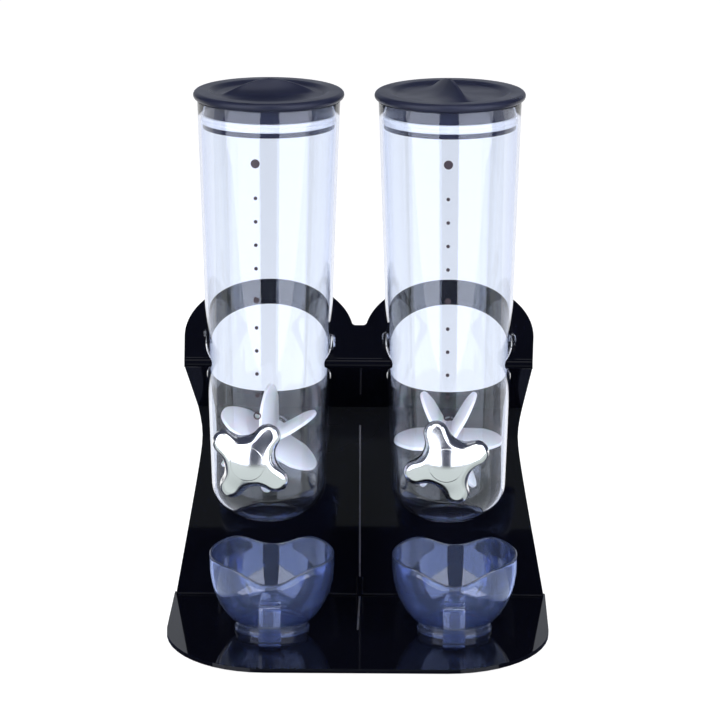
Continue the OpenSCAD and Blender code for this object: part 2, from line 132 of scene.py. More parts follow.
def finish_mesh(name, bm, smooth_angle=SMOOTH_ANGLE):
    """Makes an object of bm, with edges sharper than smooth_angle left crisp."""
    bmesh.ops.remove_doubles(bm, verts=bm.verts, dist=SAME_POINT)
    bmesh.ops.recalc_face_normals(bm, faces=bm.faces)
    mesh = bpy.data.meshes.new(name)
    bm.to_mesh(mesh)
    bm.free()
    piece = bpy.data.objects.new(name, mesh)
    bpy.context.scene.collection.objects.link(piece)
    shade(piece, smooth_angle)
    return piece


def shade(piece, smooth_angle=SMOOTH_ANGLE):
    """Smooth shading with crisp edges where faces meet at more than smooth_angle degrees."""
    bm = bmesh.new()
    bm.from_mesh(piece.data)
    limit = math.radians(smooth_angle)
    for face in bm.faces:
        face.smooth = True
    for edge in bm.edges:
        edge.smooth = len(edge.link_faces) == 2 and edge.calc_face_angle(0) < limit
    bm.to_mesh(piece.data)
    bm.free()


def ring_surface(bm, rings):
    """Faces between neighbouring rings of vertices; a ring of one vertex is a pole."""
    for low, high in zip(rings, rings[1:]):
        count = max(len(low), len(high))
        for i in range(count):
            j = (i + 1) % count
            if len(low) == 1:
                bm.faces.new((low[0], high[j], high[i]))
            elif len(high) == 1:
                bm.faces.new((low[i], low[j], high[0]))
            else:
                bm.faces.new((low[i], low[j], high[j], high[i]))


def lathe(name, profile, segments=128, matrix=Matrix(), closed=False, lift=None, smooth_angle=SMOOTH_ANGLE):
    """Turns a profile of (radius, height) round Z. lift(x, y, index) may raise a point."""
    bm = bmesh.new()
    rings = []
    for index, (radius, height) in enumerate(profile):
        if radius < SAME_POINT:
            rings.append([bm.verts.new(matrix @ Vector((0, 0, height)))])
            continue
        ring = []
        for i in range(segments):
            angle = 2 * math.pi * i / segments
            x, y = radius * math.cos(angle), radius * math.sin(angle)
            extra = lift(x, y, index) if lift else 0
            ring.append(bm.verts.new(matrix @ Vector((x, y, height + extra))))
        rings.append(ring)
    if closed:
        rings.append(rings[0])
    ring_surface(bm, rings)
    return finish_mesh(name, bm, smooth_angle)


def inward(outline, distance):
    """The outline moved to its left by distance, along each point's normal."""
    moved = []
    count = len(outline)
    for i in range(count):
        before, after = Vector(outline[i - 1]), Vector(outline[(i + 1) % count])
        along = (after - before).normalized()
        moved.append((outline[i][0] - along.y * distance, outline[i][1] + along.x * distance))
    return moved


def slab(name, outline, low, high, edge, matrix=Matrix(), steps=4, smooth_angle=SMOOTH_ANGLE):
    """A plate from low to high with rounded edges. The outline runs anticlockwise."""
    bm = bmesh.new()
    rings = []
    levels = [(edge * (1 - math.sin(a)), low + edge * (1 - math.cos(a)))
              for a in (math.pi / 2 * k / steps for k in range(steps + 1))]
    levels += [(inset, high + low - z) for inset, z in reversed(levels)]
    for inset, z in levels:
        ring = inward(outline, inset) if inset > SAME_POINT else outline
        rings.append([bm.verts.new(matrix @ Vector((x, y, z))) for x, y in ring])
    ring_surface(bm, rings)
    bm.faces.new(list(reversed(rings[0])))
    bm.faces.new(rings[-1])
    return finish_mesh(name, bm, smooth_angle)


def weld(piece):
    """Closes the slivers that a boolean leaves where two surfaces meet."""
    bm = bmesh.new()
    bm.from_mesh(piece.data)
    bmesh.ops.remove_doubles(bm, verts=bm.verts, dist=SLIVER)
    bmesh.ops.dissolve_degenerate(bm, edges=bm.edges, dist=SLIVER)
    bm.to_mesh(piece.data)
    bm.free()


def join_solids(target, tools, operation="UNION"):
    """Adds or cuts the tool solids, one boolean at a time, and removes them."""
    for tool in tools:
        change = target.modifiers.new("solid", "BOOLEAN")
        change.operation = operation
        change.solver = "EXACT"
        change.object = tool
        depsgraph = bpy.context.evaluated_depsgraph_get()
        mesh = bpy.data.meshes.new_from_object(target.evaluated_get(depsgraph))
        target.modifiers.clear()
        target.data = mesh
        bpy.data.objects.remove(tool)
    weld(target)
    shade(target)


def soften_edges(node, width):
    """Rounds the crisp edges of a carried-over CAD node, for its highlights."""
    bevel = node.modifiers.new("edge", "BEVEL")
    bevel.width = width
    bevel.segments = 2
    bevel.limit_method = "ANGLE"
    bevel.angle_limit = math.radians(35)


# ---------- Materials ----------

class Finish:
    """A Principled material with helpers for procedural detail."""

    def __init__(self, name):
        self.material = bpy.data.materials.new(name)
        self.material.use_nodes = True
        self.nodes = self.material.node_tree.nodes
        self.links = self.material.node_tree.links
        self.shader = self.nodes["Principled BSDF"]
        self.place = self.nodes.new("ShaderNodeTexCoord").outputs["Object"]

    def set(self, **values):
        for key, value in values.items():
            self.shader.inputs[key.replace("_", " ")].default_value = value
        return self

    def noise(self, scale, detail=4, stretch=None):
        texture = self.nodes.new("ShaderNodeTexNoise")
        texture.inputs["Scale"].default_value = scale
        texture.inputs["Detail"].default_value = detail
        if stretch:
            mapping = self.nodes.new("ShaderNodeMapping")
            mapping.inputs["Scale"].default_value = stretch
            self.links.new(self.place, mapping.inputs["Vector"])
            self.links.new(mapping.outputs["Vector"], texture.inputs["Vector"])
        else:
            self.links.new(self.place, texture.inputs["Vector"])
        return texture.outputs["Fac"]

    def ramp(self, source, stops):
        """Maps a grey value to colours: stops are (position, (r, g, b))."""
        ramp = self.nodes.new("ShaderNodeValToRGB")
        elements = ramp.color_ramp.elements
        while len(elements) < len(stops):
            elements.new(0.5)
        for element, (position, colour) in zip(elements, stops):
            element.position = position
            element.color = (*colour, 1)
        self.links.new(source, ramp.inputs["Fac"])
        return ramp.outputs["Color"]

    def scaled(self, source, low, high, start=0.3, end=0.7):
        """Maps a grey value from start..end to low..high."""
        node = self.nodes.new("ShaderNodeMapRange")
        for key, value in (("From Min", start), ("From Max", end), ("To Min", low), ("To Max", high)):
            node.inputs[key].default_value = value
        self.links.new(source, node.inputs["Value"])
        return node.outputs["Result"]

    def feed(self, source, socket):
        self.links.new(source, self.shader.inputs[socket])
        return self

    def bump(self, source, strength, distance):
        node = self.nodes.new("ShaderNodeBump")
        node.inputs["Strength"].default_value = strength
        node.inputs["Distance"].default_value = distance
        self.links.new(source, node.inputs["Height"])
        self.links.new(node.outputs["Normal"], self.shader.inputs["Normal"])
        return self


def gloss_black(name, tint, rough, ior):
    """Polished black plastic: faint flow marks, fine hairlines and barely uneven faces."""
    finish = Finish(name).set(IOR=ior)
    flow = finish.noise(scale=9, detail=3)
    finish.feed(finish.ramp(flow, [(0.3, tint), (0.75, tuple(c * 1.6 for c in tint))]), "Base Color")
    hairlines = finish.noise(scale=60, detail=6, stretch=(1, 1, 14))
    finish.feed(finish.scaled(hairlines, rough, rough * 2.2, start=0.45, end=0.8), "Roughness")
    finish.bump(finish.noise(scale=35, detail=2), strength=0.05, distance=0.4 * MM)
    return finish.material


def satin_black(name):
    """Moulded black lid plastic: uneven gloss and a very fine grain."""
    finish = Finish(name).set(IOR=1.32)
    dark, light = (0.011, 0.013, 0.028), (0.019, 0.022, 0.046)
    clouds = finish.noise(scale=14, detail=3)
    finish.feed(finish.ramp(clouds, [(0.3, dark), (0.8, light)]), "Base Color")
    finish.feed(finish.scaled(finish.noise(scale=40, detail=5), 0.26, 0.4), "Roughness")
    finish.bump(finish.noise(scale=900, detail=2), strength=0.12, distance=0.1 * MM)
    return finish.material


def clear_plastic(name, middle_tint, edge_tint_and_shade, rough, ripple, haze, ior):
    """Clear moulded plastic: tinted and darkened where the wall is seen edge on, partly its real deeper tint
    and partly painted shade; faintly rippled and a little hazy.
    """
    finish = Finish(name).set(IOR=ior, Transmission_Weight=1 - haze)
    facing = finish.nodes.new("ShaderNodeLayerWeight")
    facing.inputs["Blend"].default_value = 0.3
    # Facing ramp to the edge colour: the plastic's deeper tint plus painted shade where the wall is seen edge
    # on.
    finish.feed(finish.ramp(facing.outputs["Facing"], [(0.3, middle_tint), (0.97, edge_tint_and_shade)]), "Base Color")
    finish.feed(finish.scaled(finish.noise(scale=30, detail=4), rough * 0.6, rough * 1.6), "Roughness")
    finish.bump(finish.noise(scale=22, detail=2, stretch=(1, 1, 0.35)), strength=ripple, distance=0.6 * MM)
    return finish.material


def silicone(name, low, high, rough, soft=0.0):
    """Soft moulded plastic between two tints; soft is the share of light that spreads inside it."""
    finish = Finish(name).set(IOR=1.42, Subsurface_Weight=soft, Subsurface_Scale=4 * MM)
    finish.feed(finish.ramp(finish.noise(scale=18, detail=4), [(0.3, low), (0.75, high)]), "Base Color")
    finish.feed(finish.scaled(finish.noise(scale=60, detail=4), rough * 0.8, rough * 1.25), "Roughness")
    finish.bump(finish.noise(scale=300, detail=3), strength=0.1, distance=0.2 * MM)
    return finish.material


def metal(name, colour, rough, brushed=None):
    """Bare or plated metal; brushed stretches its grain along an axis."""
    finish = Finish(name).set(Metallic=1.0)
    darker = tuple(c * 0.93 for c in colour)
    finish.feed(finish.ramp(finish.noise(scale=10, detail=3), [(0.2, darker), (0.8, colour)]), "Base Color")
    grain = finish.noise(scale=45, detail=5, stretch=brushed)
    finish.feed(finish.scaled(grain, rough, rough * 2), "Roughness")
    finish.bump(finish.noise(scale=26, detail=2), strength=0.03, distance=0.3 * MM)
    return finish.material


def rubber(name):
    """Dull black rubber with a grainy face."""
    finish = Finish(name).set(IOR=1.5)
    specks = finish.noise(scale=90, detail=5)
    finish.feed(finish.ramp(specks, [(0.3, (0.02, 0.02, 0.02)), (0.8, (0.045, 0.045, 0.043))]), "Base Color")
    finish.feed(finish.scaled(finish.noise(scale=70, detail=4), 0.6, 0.85), "Roughness")
    finish.bump(finish.noise(scale=700, detail=3), strength=0.3, distance=0.2 * MM)
    return finish.material


STAND = gloss_black("stand_black", tint=(0.0018, 0.002, 0.0042), rough=0.04, ior=1.21)
LID = satin_black("lid_black")
# Edge colours: each plastic's deeper tint plus painted shade at the edges of its walls.
TUBE = clear_plastic("canister_clear", middle_tint=(0.84, 0.875, 0.94), edge_tint_and_shade=(0.34, 0.42, 0.76),
                     rough=0.012, ripple=0.04, haze=0.002, ior=1.47)
CUP = clear_plastic("cup_clear", middle_tint=(0.55, 0.66, 0.98), edge_tint_and_shade=(0.2, 0.32, 0.9),
                    rough=0.02, ripple=0.04, haze=0.03, ior=1.58)
GASKET = silicone("gasket_white", (0.66, 0.67, 0.71), (0.74, 0.75, 0.79), rough=0.45)
VANE = silicone("paddle_silicone", (0.9, 0.9, 0.93), (0.96, 0.96, 0.98), rough=0.35, soft=0.2)
CHROME = metal("knob_chrome", (0.93, 0.93, 0.93), rough=0.12)
STEEL = metal("steel_screw", (0.62, 0.62, 0.64), rough=0.22, brushed=(6, 6, 1))
SHAFT = metal("shaft_steel", (0.75, 0.75, 0.77), rough=0.16, brushed=(8, 1, 8))
BUSH = silicone("bush_white", (0.78, 0.78, 0.8), (0.86, 0.86, 0.87), rough=0.4)
PAD = rubber("pad_rubber")
# Seam bead grey, far lighter than the black stand: a painted highlight along the centre line.
SEAM_PAINTED_HIGHLIGHT = silicone("seam_grey_painted_highlight", (0.07, 0.07, 0.085), (0.12, 0.12, 0.14), rough=0.3)
INK = silicone("mark_ink", (0.03, 0.02, 0.03), (0.05, 0.04, 0.05), rough=0.5)


def wear(piece, material):
    piece.data.materials.clear()
    piece.data.materials.append(material)


def dress(piece, material, body, stands_for=()):
    """The piece's material, the body it rides on and the CAD nodes it replaces."""
    wear(piece, material)
    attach(piece, body)
    if stands_for:
        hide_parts(*stands_for)


# ---------- Camera ----------

CAMERA_PLACE = (0.0712, -4.6005, 1.2624)
CAMERA_TURN = (-0.871, -12.993, 0.128)      # yaw, pitch and roll in degrees
CAMERA_LENS = 336.5                         # millimetres, on a sensor 36 mm wide


def make_camera():
    """Far, slightly right of the middle and above, as a long product lens sees it."""
    yaw, pitch, roll = (math.radians(angle) for angle in CAMERA_TURN)
    ahead = Vector((math.sin(yaw) * math.cos(pitch), math.cos(yaw) * math.cos(pitch), math.sin(pitch)))
    level = Vector((math.cos(yaw), -math.sin(yaw), 0))
    above = level.cross(ahead)
    right = level * math.cos(roll) + above * math.sin(roll)
    up = above * math.cos(roll) - level * math.sin(roll)
    data = bpy.data.cameras.new("camera")
    data.lens = CAMERA_LENS
    data.sensor_width = 36
    data.clip_end = 100
    camera = bpy.data.objects.new("camera", data)
    bpy.context.scene.collection.objects.link(camera)
    turn = Matrix((right, up, -ahead)).transposed().to_4x4()
    camera.matrix_world = Matrix.Translation(CAMERA_PLACE) @ turn
    bpy.context.scene.camera = camera


# ---------- Canisters ----------

WALL = 2 * MM
TOP_R = 50.2 * MM
LOW_R = 40.5 * MM
BOTTOM_ROUND = 25 * MM
OUTLET_R = 19.5 * MM
SLEEVE_R = 7.25 * MM
BORE_R = 5.05 * MM
SLEEVE_OUT = 9 * MM         # the front sleeve past the wall
SLEEVE_IN = 0.8 * MM        # the rear sleeve's end, inside the wall's outer face
VANE_HALF = 32 * MM         # half the paddle's length along the shaft
SLEEVE_GAP = 2.5 * MM       # between the paddle's ends and the sleeves
LIP_R = 0.9 * MM            # round on the rim and the outlet
WALL_RINGS = 24
BOTTOM_RINGS = 22

LUG_DROP = 34 * MM          # from the panel's top to the holder, where the lugs rest
LUG_TALL, LUG_OUT, LUG_WIDE, LUG_ROOT = 10 * MM, 3.2 * MM, 5 * MM, 1.2 * MM

MARK_HEIGHTS = (263, 238.4, 221.6, 204.8, 188, 165.3, 145.4, 128.7, 112, 96)   # mm above the outlet
LARGE_MARKS = {0: 3.2, 5: 2.2}                                                 # place in the column: radius
MARK_R = 1.3
MARK_RING = (81.6, 2.7, 1.8)                                                   # height, radius and hole


def wall_radius(side, z):
    start = side.outlet_z + BOTTOM_ROUND
    return LOW_R + (TOP_R - LOW_R) * (z - start) / (side.rim_z - start)


def build_canister(side):
    """The clear tapered tube with its outlet, shaft sleeves and lugs."""
    low, top = side.outlet_z, side.rim_z
    start = low + BOTTOM_ROUND
    centre = (LOW_R - BOTTOM_ROUND, start)
    collar_r = OUTLET_R + WALL
    reach = math.degrees(math.acos((collar_r - centre[0]) / BOTTOM_ROUND))
    inner_reach = math.degrees(math.acos((OUTLET_R - centre[0]) / (BOTTOM_ROUND - WALL)))
    outer_low, outer_high = low + LIP_R, top - LIP_R

    def straight(inset, steps):
        return [(LOW_R - inset + (TOP_R - LOW_R) * k / WALL_RINGS, start + (top - start) * k / WALL_RINGS)
                for k in steps]

    profile = [(OUTLET_R, outer_low)] + arc((OUTLET_R + LIP_R, outer_low), LIP_R, 180, 270, 4)[1:]
    profile += arc((collar_r - LIP_R, outer_low), LIP_R, 270, 360, 4)
    profile += arc(centre, BOTTOM_ROUND, -reach, 0, BOTTOM_RINGS)[1:]
    profile += straight(0, range(1, WALL_RINGS))
    profile += arc((TOP_R - LIP_R, outer_high), LIP_R, 0, 90, 4)
    profile += arc((TOP_R - WALL + LIP_R, outer_high), LIP_R, 90, 180, 4)
    profile += straight(WALL, range(WALL_RINGS - 1, 0, -1))
    profile += arc(centre, BOTTOM_ROUND - WALL, 0, -inner_reach, BOTTOM_RINGS)
    tube = lathe("canister_shell_" + side.name, profile, 160, side.on_axis(), closed=True)

    wall = wall_radius(side, side.wheel_z)
    wheel = side.on_wheel()
    inner_end, front_end, through = VANE_HALF + SLEEVE_GAP, wall + SLEEVE_OUT, 2 * wall
    round_sleeve = rounded([(0, inner_end, 0), (SLEEVE_R, inner_end, 0.6 * MM),
                            (SLEEVE_R, front_end, 1 * MM), (0, front_end, 0)], closed=False)
    front = lathe("sleeve", round_sleeve, 64, wheel)
    rear = lathe("sleeve_rear", [(0, -wall + SLEEVE_IN), (SLEEVE_R, -wall + SLEEVE_IN),
                                 (SLEEVE_R, -inner_end), (0, -inner_end)], 64, wheel)
    join_solids(tube, [front, rear] + [build_lug(side, s) for s in (-1, 1)])
    bore = lathe("bore", [(0, -through), (BORE_R, -through), (BORE_R, through), (0, through)], 64, wheel)
    join_solids(tube, [bore], "DIFFERENCE")
    tube.visible_shadow = False
    dress(tube, TUBE, "canister_body_" + side.name, ["canister_" + side.name])


def build_lug(side, which):
    """A small fin that rests on the holder, rounded on its outer corners."""
    rest = panel_high.z - LUG_DROP
    radius = wall_radius(side, rest)
    outline = rounded([(radius - LUG_ROOT, rest, 0), (radius + LUG_OUT, rest, 1.5 * MM),
                       (radius + LUG_OUT, rest + LUG_TALL, 3 * MM), (radius - LUG_ROOT, rest + LUG_TALL, 0)])
    upright = Matrix.Rotation(0 if which > 0 else math.pi, 4, "Z") @ Matrix.Rotation(math.pi / 2, 4, "X")
    return slab("lug", outline, -LUG_WIDE / 2, LUG_WIDE / 2, 0.8 * MM, side.on_axis() @ upright)


def build_marks(side):
    """A column of small printed level marks down the front of the canister, and a ring at its foot."""
    bm = bmesh.new()
    for index, height in enumerate(MARK_HEIGHTS):
        disc_into(bm, side, side.outlet_z + height * MM, LARGE_MARKS.get(index, MARK_R) * MM)
    height, radius, hole = MARK_RING
    disc_into(bm, side, side.outlet_z + height * MM, radius * MM, hole * MM)
    marks = finish_mesh("level_marks_" + side.name, bm)
    dress(marks, INK, "canister_body_" + side.name)


def disc_into(bm, side, z, radius, hole=0.0):
    """A thin printed disc, or a ring, that follows the canister's wall."""
    segments = 28
    proud, sunk = 0.12 * MM, -0.3 * MM
    wall = wall_radius(side, z)

    def on_wall(u, v, lift):
        angle = u / wall
        reach = wall_radius(side, z + v) + lift
        place = Vector((reach * math.sin(angle), -reach * math.cos(angle), z + v))
        return bm.verts.new(side.on_axis() @ place)

    def circle(r, lift):
        turns = [2 * math.pi * i / segments for i in range(segments)]
        return [on_wall(r * math.cos(a), r * math.sin(a), lift) for a in turns]

    if hole:
        rings = [circle(hole, sunk), circle(hole, proud), circle(radius, proud), circle(radius, sunk)]
        ring_surface(bm, rings + [rings[0]])
    else:
        ring_surface(bm, [[on_wall(0, 0, sunk)], circle(radius, sunk), circle(radius, proud),
                          [on_wall(0, 0, proud)]])


# ---------- Lids ----------

LID_T = 6 * MM
LID_GAP = 0.01 * MM         # between the lid's flange and the canister's rim
SKIRT_GAP = 1.2 * MM        # between the skirt and the canister's wall
SKIRT_T = 2.5 * MM
GASKET_SEAT = 1 * MM        # depth of the gasket's groove in the skirt
DISH = 2.5 * MM             # depth of the round dish in the lid's top
DISH_R = 43 * MM
DISH_BLEND = 6 * MM
GRIP_HALF = 34 * MM         # the grip ridge: half its length, its flat crest and how its flanks fall
GRIP_ARCH = 1.6
GRIP_CREST = 0.9 * MM
GRIP_FLANK = 4 * MM
GRIP_FALL = 1.2
LID_TOP_RINGS = 72


def skirt_radius(side):
    low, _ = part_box("lid_" + side.name)
    return wall_radius(side, low[2]) - WALL - SKIRT_GAP


def build_lid(side, grip_turn):
    """Press-in lid: rounded flange, round dish crossed by an arched grip ridge, and a hollow skirt."""
    low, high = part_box("lid_" + side.name)
    flange_r = (high[0] - low[0]) / 2
    rim = side.rim_z + LID_GAP
    top = rim + LID_T
    edge = LID_T / 2
    skirt_r = skirt_radius(side)
    skirt_in = skirt_r - SKIRT_T
    soft = 0.8 * MM
    gasket_low, gasket_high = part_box("gasket_" + side.name)
    cos_g, sin_g = math.cos(grip_turn), math.sin(grip_turn)
    flat = [(DISH_R * 1.04 * k / LID_TOP_RINGS, top) for k in range(LID_TOP_RINGS + 1)]
    crest = len(flat) - 1

    def relief(x, y, index):
        if index > crest:
            return 0
        along, across = x * cos_g + y * sin_g, -x * sin_g + y * cos_g
        inside = smooth_step((DISH_R - math.hypot(x, y)) / DISH_BLEND)
        arch = max(0.0, 1 - (abs(along) / GRIP_HALF) ** GRIP_ARCH)
        flank = math.exp(-(max(0.0, abs(across) - GRIP_CREST) / GRIP_FLANK) ** GRIP_FALL)
        return -DISH * inside + (high[2] - top + DISH) * arch * flank * inside

    profile = flat + [(flange_r - edge, top)] + arc((flange_r - edge, top - edge), edge, 90, -90, 12)
    profile += [(skirt_r + 0.6 * MM, rim), (skirt_r, rim - 0.6 * MM)]
    profile += [(skirt_r, gasket_high[2]), (skirt_r - GASKET_SEAT, gasket_high[2])]
    profile += [(skirt_r - GASKET_SEAT, gasket_low[2]), (skirt_r, gasket_low[2])]
    profile += arc((skirt_r - soft, low[2] + soft), soft, 0, -90, 4)
    profile += arc((skirt_in + soft, low[2] + soft), soft, 270, 180, 4)
    profile += [(skirt_in, rim - 2 * MM), (skirt_in - 2 * MM, rim - 0.2 * MM), (0, rim - 0.2 * MM)]
    lid = lathe("lid_cap_" + side.name, profile, 256, Matrix.Translation((side.axis.x, side.axis.y, 0)),
                lift=relief)
    dress(lid, LID, "lid_body_" + side.name, ["lid_" + side.name])


def smooth_step(value):
    value = max(0.0, min(1.0, value))
    return value * value * (3 - 2 * value)


def build_gasket(side):
    """White seal ring with two soft ribs."""
    low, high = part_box("gasket_" + side.name)
    outer = (high[0] - low[0]) / 2
    inner = skirt_radius(side) - GASKET_SEAT
    spare, groove = 0.1 * MM, 0.5 * MM
    z0, z1 = low[2] + spare, high[2] - spare
    waist = (z0 + z1) / 2
    profile = rounded([(inner, z0, 0.3 * MM), (outer, z0, 1.2 * MM), (outer, waist - groove, 0.6 * MM),
                       (outer - groove, waist, 0.4 * MM), (outer, waist + groove, 0.6 * MM),
                       (outer, z1, 1.2 * MM), (inner, z1, 0.3 * MM)], steps=4)
    ring = lathe("gasket_ring_" + side.name, profile, 128,
                 Matrix.Translation((side.axis.x, side.axis.y, 0)), closed=True)
    dress(ring, GASKET, "lid_body_" + side.name, ["gasket_" + side.name])


# ---------- Paddle wheels and knobs ----------

VANE_R = 38.4 * MM
VANE_T = 2.4 * MM
VANE_ROOT = 3.5 * MM        # where a vane starts inside the hub
HUB_R = 6 * MM
SHAFT_R = 3 * MM
VANES = 6


def build_paddle(side, turn):
    """Six half-disc silicone vanes on a hub, one soft moulding."""
    wheel = side.on_wheel()
    hub = lathe("paddle_wheel_" + side.name,
                rounded([(0, -VANE_HALF, 0), (HUB_R, -VANE_HALF, 1 * MM), (HUB_R, VANE_HALF, 1 * MM),
                         (0, VANE_HALF, 0)], closed=False), 64, wheel)
    edge_angle = math.degrees(math.asin((VANE_HALF - 2 * MM) / VANE_R))
    outline = [(VANE_ROOT, -VANE_HALF + 1 * MM)] + arc((0, 0), VANE_R, -edge_angle, edge_angle, 40)
    outline += [(VANE_ROOT, VANE_HALF - 1 * MM)]
    vanes = []
    for i in range(VANES):
        spin = Matrix.Rotation(math.pi / 2 - turn + 2 * math.pi * i / VANES, 4, "Z")
        stand = Matrix.Rotation(math.pi / 2, 4, "X")
        vanes.append(slab("vane", outline, -VANE_T / 2, VANE_T / 2, 0.5 * MM, wheel @ spin @ stand,
                          steps=3, smooth_angle=30))
    join_solids(hub, vanes)
    through = 2 * VANE_HALF
    bore = lathe("bore", [(0, -through), (SHAFT_R, -through), (SHAFT_R, through), (0, through)], 64, wheel)
    join_solids(hub, [bore], "DIFFERENCE")
    dress(hub, VANE, "wheel_body_" + side.name, ["paddle_" + side.name])


KNOB_REACH = 71.5 * MM      # from the canister's axis to the knob's middle
KNOB_T = 10 * MM
KNOB_LOBES = 4
TIP_R = 31 * MM
LOBE_HALF = 8.6 * MM
MID_R = 15.5 * MM
MELT = 3.2 * MM             # how far the lobes and the middle flow into each other
CAP_R = 12 * MM
CAP_H = 5 * MM
CAP_PROUD = 0.15 * MM       # the cap over the knob under it
DOME_R = 27 * MM
CROWN_R = 110 * MM
EDGE_R = 4.5 * MM


def lobe_distance(x, y, turn):
    """Distance to the knob's outline: its lobes and a middle, melted together. It is negative inside."""
    parts = [math.hypot(x, y) - MID_R]
    reach = TIP_R - LOBE_HALF
    for i in range(KNOB_LOBES):
        angle = math.pi / 2 - turn + i * 2 * math.pi / KNOB_LOBES
        along = x * math.cos(angle) + y * math.sin(angle)
        across = -x * math.sin(angle) + y * math.cos(angle)
        past = max(0.0, along - reach) if along > 0 else along
        parts.append(math.hypot(past, across) - LOBE_HALF)
    return -MELT * math.log(sum(math.exp(-part / MELT) for part in parts))


def outline_radius(angle, turn):
    """How far the knob's outline lies from its middle in one direction, found by halving."""
    low, high = 0.0, TIP_R
    for _ in range(30):
        mid = (low + high) / 2
        if lobe_distance(mid * math.cos(angle), mid * math.sin(angle), turn) < 0:
            low = mid
        else:
            high = mid
    return low


def dome(radius):
    """Rise of the knob's middle above its lobes."""
    return CAP_H * (1 + math.cos(math.pi * min(1.0, radius / DOME_R))) / 2


def build_knob(side, turn):
    """Chrome knob: four round-backed lobes melted into a domed middle."""
    wheel = side.on_wheel()
    bm = bmesh.new()
    segments, rows = 200, 34
    angles = [2 * math.pi * i / segments for i in range(segments)]
    radii = [outline_radius(a, turn) for a in angles]
    half = KNOB_T / 2
    seam = -0.75 * half

    def ring(share, front):
        points = []
        for angle, radius in zip(angles, radii):
            x, y = radius * share * math.cos(angle), radius * share * math.sin(angle)
            depth = min(1.0, max(0.0, -lobe_distance(x, y, turn)) / (EDGE_R if front else 2 * EDGE_R))
            edge = math.sqrt(1 - (1 - depth) ** 2)
            reach = radius * share
            crown = half - reach ** 2 / (2 * CROWN_R) + dome(reach) - CAP_PROUD
            z = seam + ((crown if front else -half) - seam) * edge
            points.append(bm.verts.new(wheel @ Vector((x, y, KNOB_REACH + z))))
        return points

    shares = [math.sin(math.pi / 2 * k / rows) for k in range(1, rows + 1)]
    rings = [[bm.verts.new(wheel @ Vector((0, 0, KNOB_REACH + half + CAP_H - CAP_PROUD)))]]
    rings += [ring(share, True) for share in shares]
    rings += [ring(share, False) for share in reversed(shares[:-1])]
    rings.append([bm.verts.new(wheel @ Vector((0, 0, KNOB_REACH - half)))])
    ring_surface(bm, rings)
    knob = finish_mesh("knob_star_" + side.name, bm, 70)
    dress(knob, CHROME, "wheel_body_" + side.name, ["knob_" + side.name])


def build_knob_cap(side):
    """Chrome cap over the knob's screw, carrying the dome on without a step."""
    base = KNOB_REACH + KNOB_T / 2
    steps = 24
    radii = [CAP_R * k / steps for k in range(steps + 1)]
    profile = [(r, base + dome(r) - r ** 2 / (2 * CROWN_R)) for r in radii]
    edge_z = profile[-1][1]
    foot_z = edge_z - 1.2 * MM
    profile += [(CAP_R + 0.15 * MM, edge_z - 0.2 * MM), (CAP_R, foot_z), (0, foot_z)]
    cap = lathe("knob_dome_" + side.name, profile, 96, side.on_wheel(), smooth_angle=70)
    dress(cap, CHROME, "wheel_body_" + side.name, ["knob_cap_" + side.name])


# ---------- Cups ----------

CUP_R = 44.1 * MM
CUP_H = 56 * MM
CUP_WALL = 1.8 * MM
FOOT_R = 26.5 * MM
FOOT_H = 5 * MM
FOOT_T = 2.2 * MM           # thickness of the foot ring
FOOT_STEP = 0.8 * MM        # the step round its outside
CUP_FLOOR_T = 3.2 * MM
CUP_RINGS = 26
RIM_RINGS = 6
BOWL_MID = 10 * MM
BOWL_TOP = 48 * MM
RIM_DIP = 9.2 * MM
RIM_DIP_HALF = 32 * MM
RIM_SLOPE = math.radians(5.4)
HANDLE_OUT = 12.5 * MM
HANDLE_W = 15.5 * MM
HANDLE_T = 2.6 * MM
HANDLE_H = 31 * MM


def cup_radius(z):
    if z >= BOWL_TOP:
        return CUP_R
    return BOWL_MID + (CUP_R - BOWL_MID) * math.sqrt(1 - ((BOWL_TOP - z) / (BOWL_TOP - MM)) ** 2)


def rim_height(angle):
    """Height of the wavy rim: level sides, a dip at the front and the back, lower at the front."""
    x, y = CUP_R * math.cos(angle), CUP_R * math.sin(angle)
    dip = (1 + math.cos(math.pi * min(1, abs(x) / RIM_DIP_HALF))) / 2
    return CUP_H + y * math.tan(RIM_SLOPE) - RIM_DIP * dip


